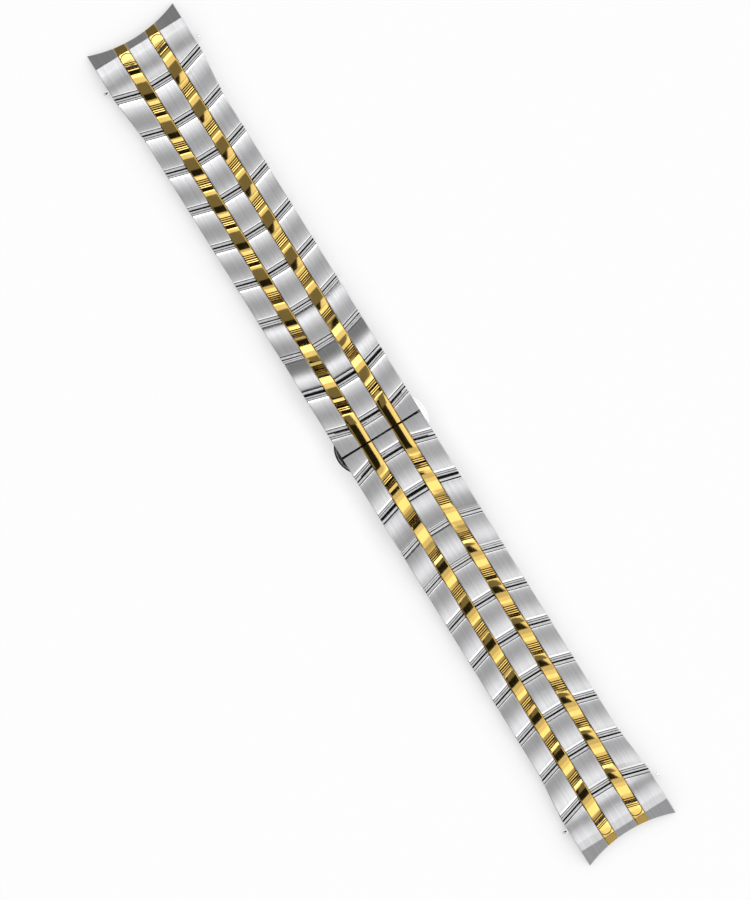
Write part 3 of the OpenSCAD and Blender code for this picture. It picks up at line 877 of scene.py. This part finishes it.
def metal(name, colour, dark, rough, streaks, anisotropic=0.0, bump=0.0):
    """A metal with lengthwise grain. colour and dark are the two ends of its tone, rough the two ends of
    its roughness, and streaks the scales of the grain along and across, per millimetre."""
    material = bpy.data.materials.new(name)
    material.use_nodes = True
    tree = material.node_tree
    shader = tree.nodes["Principled BSDF"]
    turn = QUARTER_TURN if anisotropic else 0.0
    set_inputs(shader, {"Metallic": 1.0, "Anisotropic": anisotropic, "Anisotropic Rotation": turn})
    coords = "UV" if anisotropic else "Object"
    along, side = streaks
    fine = grain(tree, coords, along, side, FINE_DETAIL)
    broad = grain(tree, coords, along * BROAD_ALONG, side * BROAD_ACROSS, BROAD_DETAIL)
    mix = tree.nodes.new("ShaderNodeMix")
    mix.data_type = "RGBA"
    set_inputs(mix, {"A": (*dark, 1), "B": (*colour, 1)})
    link_nodes(
        tree,
        (remap(tree, broad, 0.0, 1.0), mix.inputs["Factor"]),
        (mix.outputs["Result"], shader.inputs["Base Color"]),
        (remap(tree, fine, rough[0], rough[1]), shader.inputs["Roughness"]),
    )
    if bump:
        relief = tree.nodes.new("ShaderNodeBump")
        set_inputs(relief, {"Strength": bump, "Distance": RELIEF * MM})
        link_nodes(
            tree,
            (fine, relief.inputs["Height"]),
            (relief.outputs["Normal"], shader.inputs["Normal"]),
        )
    if anisotropic:
        tangent = tree.nodes.new("ShaderNodeTangent")
        tangent.direction_type = "UV_MAP"
        tangent.uv_map = "UVMap"
        tree.links.new(tangent.outputs["Tangent"], shader.inputs["Tangent"])
    return material


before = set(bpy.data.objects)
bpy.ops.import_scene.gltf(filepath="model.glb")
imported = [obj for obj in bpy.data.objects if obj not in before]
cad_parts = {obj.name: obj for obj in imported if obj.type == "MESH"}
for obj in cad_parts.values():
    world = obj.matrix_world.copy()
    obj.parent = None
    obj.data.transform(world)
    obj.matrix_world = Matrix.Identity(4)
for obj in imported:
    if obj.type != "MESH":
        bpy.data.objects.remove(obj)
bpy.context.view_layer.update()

brushed = metal("brushed_steel", (0.71, 0.71, 0.72), (0.62, 0.62, 0.63), (0.36, 0.46), (0.1, 13.0),
                anisotropic=0.85, bump=0.2)
polished = metal("polished_steel", (0.86, 0.86, 0.87), (0.82, 0.82, 0.83), (0.12, 0.2), (0.5, 3.0))
satin = metal("satin_steel", (0.8, 0.8, 0.81), (0.7, 0.7, 0.71), (0.42, 0.54), (0.2, 7.0))
bright = metal("bright_steel", (0.92, 0.92, 0.93), (0.88, 0.88, 0.89), (0.08, 0.14), (0.6, 2.0))
gold = metal("polished_gold", (0.95, 0.66, 0.2), (0.92, 0.62, 0.17), (0.05, 0.09), (0.6, 3.0))
# Painted shade: near-black steel and brown-black gold for the grooves, the noses in the gaps and the bores,
# where shade falls
recess = metal("painted_shade_steel", (0.03, 0.03, 0.032), (0.015, 0.015, 0.016), (0.5, 0.7), (0.5, 0.5))
painted_shade_gold = metal("painted_shade_gold", (0.05, 0.026, 0.005), (0.025, 0.012, 0.003), (0.4, 0.6), (0.5, 0.5))
STEEL_SET = [brushed, polished, satin, recess]
GOLD_SET = [gold, painted_shade_gold]
# The faces in the gaps and in the grooves take the near-black materials, a painted shade
STEEL_SLOTS = {
    "crown": 0, "ledge": 2, "bevel": 1, "end": 1, "side": 2, "foot": 2, "wall": 2, "gap": 3, "recess": 3,
}
GOLD_SLOTS = {"gap": 1, "recess": 1}


def edge_rings(width):
    """Stations across a steel block: a narrow rim at each side and a flat top between."""
    rim = STEEL_RIM / width
    return [(0.0, STEEL_RIM_DROP), (rim, 0.0), (1 - rim, 0.0), (1.0, STEEL_RIM_DROP)]


def steel_row(half, i):
    """One steel row with its three blocks and the bores for the ends of its cross pins."""
    shape = Shape(half == "a")
    offset = ROW_GRAIN * i + (ROW_GRAIN_HALF if half == "b" else 0)
    plain = steel_profile(PITCH, 0.0)
    leaning = steel_profile(PITCH, SLANT)
    middle = edge_rings(CENTRE_W)
    outer = edge_rings(OUTER_W)
    shape.loft(plain, straight(-CENTRE_W / 2, CENTRE_W / 2), 0.0, 0.0, middle, 1, offset)
    sides = straight(OUTER_Y, EDGE_Y)
    if i == 1:
        run = PITCH + OUTER_W * math.tan(SLANT)
        sides = widening(OUTER_Y, EDGE_Y, END_Y, run, SLANT)
    for hand in (1, -1):
        shape.loft(leaning, sides, SLANT, OUTER_Y, outer, hand, offset + STEEL_GRAIN_SIDE * hand)
    flip = -1 if half == "a" else 1
    name = f"steel_row_{half}{i}"
    mesh = shape.mesh(name, STEEL_SLOTS)
    cuts = []
    # Bores for the pins' ends; their walls take the near-black material, a painted shade inside the holes
    for x in (PIN_IN, PIN_IN + PIN_REACH):
        for hand in (1, -1):
            inside = sorted((hand * (EDGE_Y - PIN_SINK), hand * 2 * EDGE_Y))
            cuts.append(rod_mesh(flip * x, PIN_Z, PIN_R + PRESS_GAP, *inside, 3))
    place = placement(half, row_step(i), PIN_IN)
    node = f"row_{half}{i}"
    return piece(name, mesh, STEEL_SET, place, node, [node], cuts=cuts)


def rim_rings(width, cross_r):
    """Stations across a gold bar: a rim at each side and a crown of the radius given between them."""
    rim = GOLD_RIM / width
    rings = []
    for share in spread(rim, 1 - rim, CROSS_STEPS):
        y = (share - 0.5) * width
        rings.append((share, y * y / (2 * cross_r)))
    edge = rings[0][1] + GOLD_RIM_DROP
    return [(0.0, edge), *rings, (1.0, edge)]


def gold_pair(half, i):
    """The two gold bars that join row i to the next piece toward the watch."""
    shape = Shape(half == "a")
    offset = GOLD_GRAIN * i + (GOLD_GRAIN_HALF if half == "b" else 0)
    first = GOLD_GAP_AT - PIN_IN - PIN_REACH
    last = PIN_REACH - PIN_IN + GOLD_GAP_AT
    if i == 1:
        last = LAST_REACH - BAR_IN + END_GOLD_GAP_AT
    profile = gold_profile(first, last, SLANT)
    middle = GOLD_Y + GOLD_W / 2
    rings = rim_rings(GOLD_W, GOLD_CROSS_R)
    for hand in (1, -1):
        shape.loft(profile, straight(GOLD_Y, GOLD_Y + GOLD_W), SLANT, middle, rings, hand,
                   offset + GOLD_GRAIN_SIDE * hand)
    name = f"gold_pair_{half}{i}"
    mesh = shape.mesh(name, GOLD_SLOTS)
    place = placement(half, gold_step(i), 0.0)
    node = f"gold_{half}{i}"
    return piece(name, mesh, GOLD_SET, place, node, [node], width=GOLD_ROUND)


def clasp_end(half):
    """Half of the clasp's top: three blocks, with the tongue's slot, the buttons' pockets and the hooks."""
    flip = -1 if half == "a" else 1
    shape = Shape(half == "a")
    profile = clasp_profile()
    offset = CLASP_GRAIN + CLASP_GRAIN_HALF * flip
    still = (SEAM / 2, crown_end(CLASP_LEN, CLASP_GAP_MORE))
    middle = edge_rings(CENTRE_W)
    outer = edge_rings(OUTER_W)
    shape.loft(profile, straight(-CENTRE_W / 2, CENTRE_W / 2), 0.0, 0.0, middle, 1, offset)
    for hand in (1, -1):
        shape.loft(profile, straight(OUTER_Y, EDGE_Y), SLANT, OUTER_Y, outer, hand,
                   offset + STEEL_GRAIN_SIDE * hand, still)
    slot = TONGUE_W / 2 + 2 * TONGUE_GAP
    long = 2 * CLASP_LEN
    roof = STEEL_TOP - TONGUE_ROOF
    pocket = BUTTON_Z + BUTTON_H - CLASP_Z + LAYER_GAP
    levels = [(CUT_FROM, -LAYER_GAP), (pocket, -LAYER_GAP)]
    cuts = [block_mesh(-long, long, -slot, slot, CUT_FROM, roof, 2)]
    cuts += [lens_mesh(BOX_Y + RUN_GAP, levels, 2, hand) for hand in (1, -1)]
    half_pin = CENTRE_W / 2 - LAYER_GAP
    extras = [rod_mesh(flip * TONGUE_X, TONGUE_Z, PIN_R, -half_pin, half_pin, 1)]
    low = BOX_FLOOR + LAYER_GAP - CLASP_Z
    x0, x1 = sorted((flip * HOOK_X, flip * (HOOK_X + HOOK_LEN)))
    for hand in (1, -1):
        inner = BOX_Y - HOOK_RUN
        y0, y1 = sorted((hand * inner, hand * (inner + HOOK_T)))
        extras.append(block_mesh(x0, x1, y0, y1, low, HOOK_ROOT, 1))
        y0, y1 = sorted((hand * (inner - HOOK_LIP), hand * (inner + HOOK_T)))
        extras.append(block_mesh(x0, x1, y0, y1, low, low + LIP_H, 1))
    name = f"clasp_top_{half}"
    mesh = shape.mesh(name, STEEL_SLOTS)
    place = Matrix.Translation((0, 0, CLASP_Z * MM))
    node = f"clasp_end_{half}"
    return piece(name, mesh, STEEL_SET, place, node, [node], cuts=cuts, extras=extras)


def clasp_inlay(half):
    """The gold inlays of a clasp end, which run up to the seam."""
    shape = Shape(half == "a")
    last = CLASP_LEN + GOLD_GAP_AT
    middle = GOLD_Y + GOLD_W / 2
    rings = rim_rings(GOLD_W, INLAY_CROSS_R)
    for hand in (1, -1):
        shape.loft(inlay_profile(), straight(GOLD_Y, GOLD_Y + GOLD_W), SLANT, middle, rings, hand,
                   INLAY_GRAIN + INLAY_GRAIN_SIDE * hand, (SEAM / 2, last / 2))
    name = f"clasp_gold_{half}"
    mesh = shape.mesh(name, GOLD_SLOTS)
    place = Matrix.Translation((0, 0, CLASP_Z * MM))
    nodes = [f"clasp_inlay_{half}"]
    return piece(name, mesh, GOLD_SET, place, f"clasp_end_{half}", nodes, width=GOLD_ROUND)


def across(y0, y1, rim, drop, count):
    """Stations from y0 to y1 as (y, drop), with a lowered rim at both sides."""
    inner = spread(y0 + rim, y1 - rim, count)
    return [(y0, drop), *((y, 0.0) for y in inner), (y1, drop)]


def at_station(outline, y):
    """The points of an outline, set at y across the bracelet."""
    return [(x, y, z, kind) for x, z, kind in outline]


def end_link(half):
    """An end link: three blocks, arched and then flat toward their concave end for the case, and joined
    below the gold inlays."""
    flip = -1 if half == "a" else 1
    shape = Shape(half == "a")
    stations = across(-CENTRE_W / 2, CENTRE_W / 2, STEEL_RIM, STEEL_RIM_DROP, END_MIDDLE_STEPS)
    shape.skin([at_station(end_outline(y, 0.0, drop), y) for y, drop in stations], 1, END_GRAIN)
    stations = across(OUTER_Y, END_Y, STEEL_RIM, STEEL_RIM_DROP, END_OUTER_STEPS)
    sections = []
    for y, drop in stations:
        sections.append(at_station(end_outline(y, (y - OUTER_Y) * math.tan(SLANT), drop), y))
    for hand in (1, -1):
        shape.skin(sections, hand, END_GRAIN + STEEL_GRAIN_SIDE * hand)
    bridges = Shape(half == "a")
    start = CENTRE_W / 2 - LAYER_GAP
    sections = [at_station(bridge_outline(y), y) for y in spread(start, start + BRIDGE_W, BRIDGE_STEPS)]
    for hand in (1, -1):
        bridges.skin(sections, hand, BRIDGE_GRAIN)
    name = f"end_block_{half}"
    mesh = shape.mesh(name, STEEL_SLOTS)
    under = bridges.mesh(f"end_bridge_{half}", STEEL_SLOTS)
    # The bore for the spring bar; its walls take the near-black material, a painted shade inside the hole
    bore = rod_mesh(flip * BAR_IN, PIN_Z, BAR_R + BAR_GAP, -LUG_W, LUG_W, 3)
    place = placement(half, END_STEP, BAR_IN)
    node = f"end_link_{half}"
    return piece(name, mesh, STEEL_SET, place, node, [node], cuts=[bore], extras=[under])


def end_gold(half):
    """The fixed gold inlays of an end link."""
    shape = Shape(half == "a")
    middle = GOLD_Y + GOLD_W / 2
    sections = []
    for share, drop in rim_rings(GOLD_W, END_CROSS_R):
        y = GOLD_Y + GOLD_W * share
        sections.append(at_station(end_inlay_outline(y, (y - middle) * math.tan(SLANT), drop), y))
    for hand in (1, -1):
        shape.skin(sections, hand, END_GOLD_GRAIN + INLAY_GRAIN_SIDE * hand)
    name = f"end_gold_{half}"
    mesh = shape.mesh(name, GOLD_SLOTS)
    place = placement(half, END_STEP, BAR_IN)
    nodes = [f"end_inlay_{half}"]
    return piece(name, mesh, GOLD_SET, place, f"end_link_{half}", nodes, width=GOLD_ROUND)


def spring_bar(half):
    """A spring bar: its tube, its two sprung tips, and the spring between them in two halves."""
    x = -BAR_IN if half == "a" else BAR_IN
    place = placement(half, END_STEP, BAR_IN)
    body = f"end_link_{half}"
    soft = EDGE_ROUND
    tube = [(-TUBE_HALF, BAR_BORE_R), (-TUBE_HALF, BAR_R - soft), (-TUBE_HALF + soft, BAR_R)]
    for groove in (CRIMP_IN - TUBE_HALF, TUBE_HALF - CRIMP_IN):
        tube += [(groove - CRIMP_W, BAR_R), (groove, BAR_R - CRIMP_DEPTH), (groove + CRIMP_W, BAR_R)]
    tube += [(TUBE_HALF - soft, BAR_R), (TUBE_HALF, BAR_R - soft), (TUBE_HALF, BAR_BORE_R)]
    mesh = turned_mesh(x, PIN_Z, tube, ring=True)
    piece(f"bar_tube_{half}", mesh, [polished], place, body, [f"spring_bar_{half}"], 0)
    shank_r = BAR_BORE_R - RUN_GAP
    flange_r = BAR_R - RUN_GAP
    tip_y = END_Y + TIP_OUT
    flange_top = FLANGE_Y + FLANGE_T
    spring_len = SHANK_IN - RUN_GAP
    for hand, side in ((-1, "left"), (1, "right")):
        profile = [(SHANK_IN, shank_r - soft), (SHANK_IN + soft, shank_r), (FLANGE_Y, shank_r),
                   (FLANGE_Y, flange_r - soft), (FLANGE_Y + soft, flange_r), (flange_top - soft, flange_r),
                   (flange_top, flange_r - soft), (flange_top, TIP_R), (tip_y - 3 * soft, TIP_R),
                   (tip_y - soft, TIP_R - soft), (tip_y, TIP_R - 3 * soft)]
        mesh = turned_mesh(x, PIN_Z, [(hand * y, r) for y, r in profile])
        tip = f"bar_tip_{half}_{side}"
        piece(f"pin_{half}_{side}", mesh, [bright], place, tip, [tip], 0)
        mesh = coil_mesh(x, PIN_Z, shank_r, BAR_WIRE, spring_len, BAR_TURNS, hand)
        coil = piece(f"bar_coil_{half}_{side}", mesh, [polished], place, body, [f"bar_spring_{half}"],
                     0)
        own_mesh(coil)


def button(side):
    """A push button: a lens-shaped head with a fine groove, on a slider with a window for the hooks."""
    hand = -1 if side == "left" else 1
    top = BUTTON_Z + BUTTON_H
    levels = [(BUTTON_Z + up, inset) for up, inset in BUTTON_FOOT]
    levels += [(top - down, inset) for down, inset in BUTTON_HEAD]
    mesh = lens_mesh(BUTTON_IN, levels, 0, hand, BUTTON_LEN / 2)
    wide = BOX_LEN / 2 - BOX_WALL - SLIDE_GAP
    window = wide - WINDOW_RIM
    z0, z1 = SLIDER_Z, SLIDER_Z + SLIDER_T
    stations = (SLIDER_IN, BOX_Y - WINDOW_RUN, BOX_Y + WINDOW_OVER, BUTTON_IN + LAYER_GAP)
    extras = []
    for x0, x1, y0, y1 in (
        (-wide, -window, stations[0], stations[3]),
        (window, wide, stations[0], stations[3]),
        (-window, window, stations[0], stations[1]),
        (-window, window, stations[2], stations[3]),
    ):
        low_y, high_y = sorted((hand * y0, hand * y1))
        extras.append(block_mesh(x0, x1, low_y, high_y, z0, z1, 1))
    name = f"button_{side}"
    return piece(f"push_{name}", mesh, [bright, polished], Matrix.Identity(4), name, [name],
                 width=BUTTON_ROUND, extras=extras)


def button_springs():
    """The spring between the two sliders, in two halves, set on the base."""
    height = BOX_FLOOR + SPRING_R + SLIDE_GAP
    length = SLIDER_IN - SLIDE_GAP
    for hand, side in ((-1, "left"), (1, "right")):
        mesh = coil_mesh(0.0, height, SPRING_R, BUTTON_WIRE, length, BUTTON_TURNS, hand)
        coil = piece(f"button_coil_{side}", mesh, [polished], Matrix.Identity(4), "base",
                     ["button_spring"], 0)
        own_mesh(coil)


for half in ("a", "b"):
    for i in range(1, ROWS + 1):
        steel_row(half, i)
        gold_pair(half, i)
    clasp_end(half)
    clasp_inlay(half)
    end_link(half)
    end_gold(half)
    spring_bar(half)
for side in ("left", "right"):
    button(side)
button_springs()

for name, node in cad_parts.items():
    if node.hide_render:
        continue
    node.data.materials.clear()
    node.data.materials.append(polished if name == "hinge_pins" else satin)


def ramp_node(tree, value, stops):
    """A smooth grey ramp over a value that runs from -1 to 1."""
    widened = tree.nodes.new("ShaderNodeMapRange")
    set_inputs(widened, {"From Min": -1.0, "From Max": 1.0})
    ramp = tree.nodes.new("ShaderNodeValToRGB")
    ramp.color_ramp.interpolation = "EASE"
    elements = ramp.color_ramp.elements
    while len(elements) < len(stops):
        elements.new(0.5)
    for element, (where, level) in zip(elements, stops):
        element.position = (where + 1) / 2
        element.color = (level, level, level, 1)
    link_nodes(
        tree,
        (value, widened.inputs["Value"]),
        (widened.outputs["Result"], ramp.inputs["Fac"]),
    )
    return ramp.outputs["Color"]


def blend_node(tree, share, low, high):
    """Mixes from low to high by a share; each of the two is a socket or a plain level."""
    mix = tree.nodes.new("ShaderNodeMix")
    tree.links.new(share, mix.inputs["Factor"])
    for name, value in (("A", low), ("B", high)):
        if isinstance(value, float):
            mix.inputs[name].default_value = value
        else:
            tree.links.new(value, mix.inputs[name])
    return mix.outputs["Result"]


def background_rays(tree):
    """1 for the rays that show the background: the camera's own, and those that metal reflects or glass
    lets through."""
    path = tree.nodes.new("ShaderNodeLightPath")
    shown = path.outputs["Is Camera Ray"]
    for name in ("Is Glossy Ray", "Is Transmission Ray"):
        either = tree.nodes.new("ShaderNodeMath")
        either.operation = "MAXIMUM"
        link_nodes(tree, (shown, either.inputs[0]), (path.outputs[name], either.inputs[1]))
        shown = either.outputs["Value"]
    return shown


def surroundings():
    """The world: mostly dark overhead, brighter toward +Y, grey toward the two ends of the bracelet, pale
    at the horizon, and white for the camera."""
    world = bpy.data.worlds.new("studio")
    bpy.context.scene.world = world
    world.use_nodes = True
    tree = world.node_tree
    tree.nodes.clear()
    coords = tree.nodes.new("ShaderNodeTexCoord")
    way = tree.nodes.new("ShaderNodeSeparateXYZ")
    tree.links.new(coords.outputs["Generated"], way.inputs["Vector"])
    x, y, z = (way.outputs[name] for name in "XYZ")
    middle = ramp_node(tree, y, WORLD_MIDDLE)
    flank = ramp_node(tree, y, WORLD_FLANK)
    level = blend_node(tree, ramp_node(tree, x, FLANK_SHARE), middle, flank)
    level = blend_node(tree, ramp_node(tree, x, END_SHARE), level, ramp_node(tree, x, END_LEVELS))
    height = tree.nodes.new("ShaderNodeMapRange")
    height.interpolation_type = "SMOOTHSTEP"
    set_inputs(height, {"From Min": HORIZON[0], "From Max": HORIZON[1]})
    tree.links.new(z, height.inputs["Value"])
    level = blend_node(tree, height.outputs["Result"], HORIZON_LEVEL, level)
    lit = tree.nodes.new("ShaderNodeBackground")
    white = tree.nodes.new("ShaderNodeBackground")
    path = tree.nodes.new("ShaderNodeLightPath")
    mix = tree.nodes.new("ShaderNodeMixShader")
    out = tree.nodes.new("ShaderNodeOutputWorld")
    link_nodes(
        tree,
        (level, lit.inputs["Color"]),
        (path.outputs["Is Camera Ray"], mix.inputs["Fac"]),
        (lit.outputs["Background"], mix.inputs[1]),
        (white.outputs["Background"], mix.inputs[2]),
        (mix.outputs["Shader"], out.inputs["Surface"]),
    )


def panels():
    """Flat lights above the bracelet. They leave an opening over the clasp and toward -Y, through which the
    metal shows the dark part of the world."""
    for name, x0, x1, y0, y1, level in PANELS:
        data = bpy.data.lights.new(name, "AREA")
        data.shape = "RECTANGLE"
        data.size = (x1 - x0) * MM
        data.size_y = (y1 - y0) * MM
        data.energy = level * math.pi * data.size * data.size_y
        made = add_object(name, data)
        made.location = Vector(((x0 + x1) / 2, (y0 + y1) / 2, PANEL_HEIGHT)) * MM
        made.visible_camera = False


def pale_floor():
    """A pale table top, which keeps a soft shadow under the bracelet."""
    half = FLOOR_HALF
    corners = [(-half, -half, 0), (half, -half, 0), (half, half, 0), (-half, half, 0)]
    mesh = plain_mesh("floor", corners, [(0, 1, 2, 3)], 0)
    made = add_object("floor", mesh)
    material = bpy.data.materials.new("pale_floor")
    material.use_nodes = True
    tree = material.node_tree
    shader = tree.nodes["Principled BSDF"]
    set_inputs(shader, {"Base Color": (FLOOR_TONE, FLOOR_TONE, FLOOR_TONE, 1), "Roughness": FLOOR_ROUGH})
    glow = tree.nodes.new("ShaderNodeEmission")
    openness = tree.nodes.new("ShaderNodeAmbientOcclusion")
    glow_level = (FLOOR_GLOW, FLOOR_GLOW, FLOOR_GLOW, 1)
    set_inputs(openness, {"Distance": SHADOW_REACH * MM, "Color": glow_level})
    share = tree.nodes.new("ShaderNodeMath")
    share.operation = "MULTIPLY"
    mix = tree.nodes.new("ShaderNodeMixShader")
    link_nodes(
        tree,
        (background_rays(tree), share.inputs[0]),
        (openness.outputs["Color"], share.inputs[1]),
        (share.outputs["Value"], mix.inputs["Fac"]),
        (shader.outputs["BSDF"], mix.inputs[1]),
        (glow.outputs["Emission"], mix.inputs[2]),
        (mix.outputs["Shader"], tree.nodes["Material Output"].inputs["Surface"]),
    )
    mesh.materials.append(material)


def camera():
    """A camera straight above, turned so that the bracelet lies as in the photograph."""
    data = bpy.data.cameras.new("camera")
    made = add_object("camera", data)
    data.sensor_fit = "VERTICAL"
    data.sensor_height = SENSOR_H
    data.lens = SENSOR_H * CAMERA_HEIGHT / (PHOTO_H * MM_PER_PIXEL)
    data.clip_start = CLIP_NEAR
    data.clip_end = CLIP_FAR
    at = Vector((*CAMERA_AT, CAMERA_HEIGHT)) * MM
    made.matrix_world = Matrix.Translation(at) @ Matrix.Rotation(CAMERA_TURN, 4, "Z")
    bpy.context.scene.camera = made


surroundings()
panels()
pale_floor()
camera()
bpy.context.scene.view_settings.view_transform = "Standard"
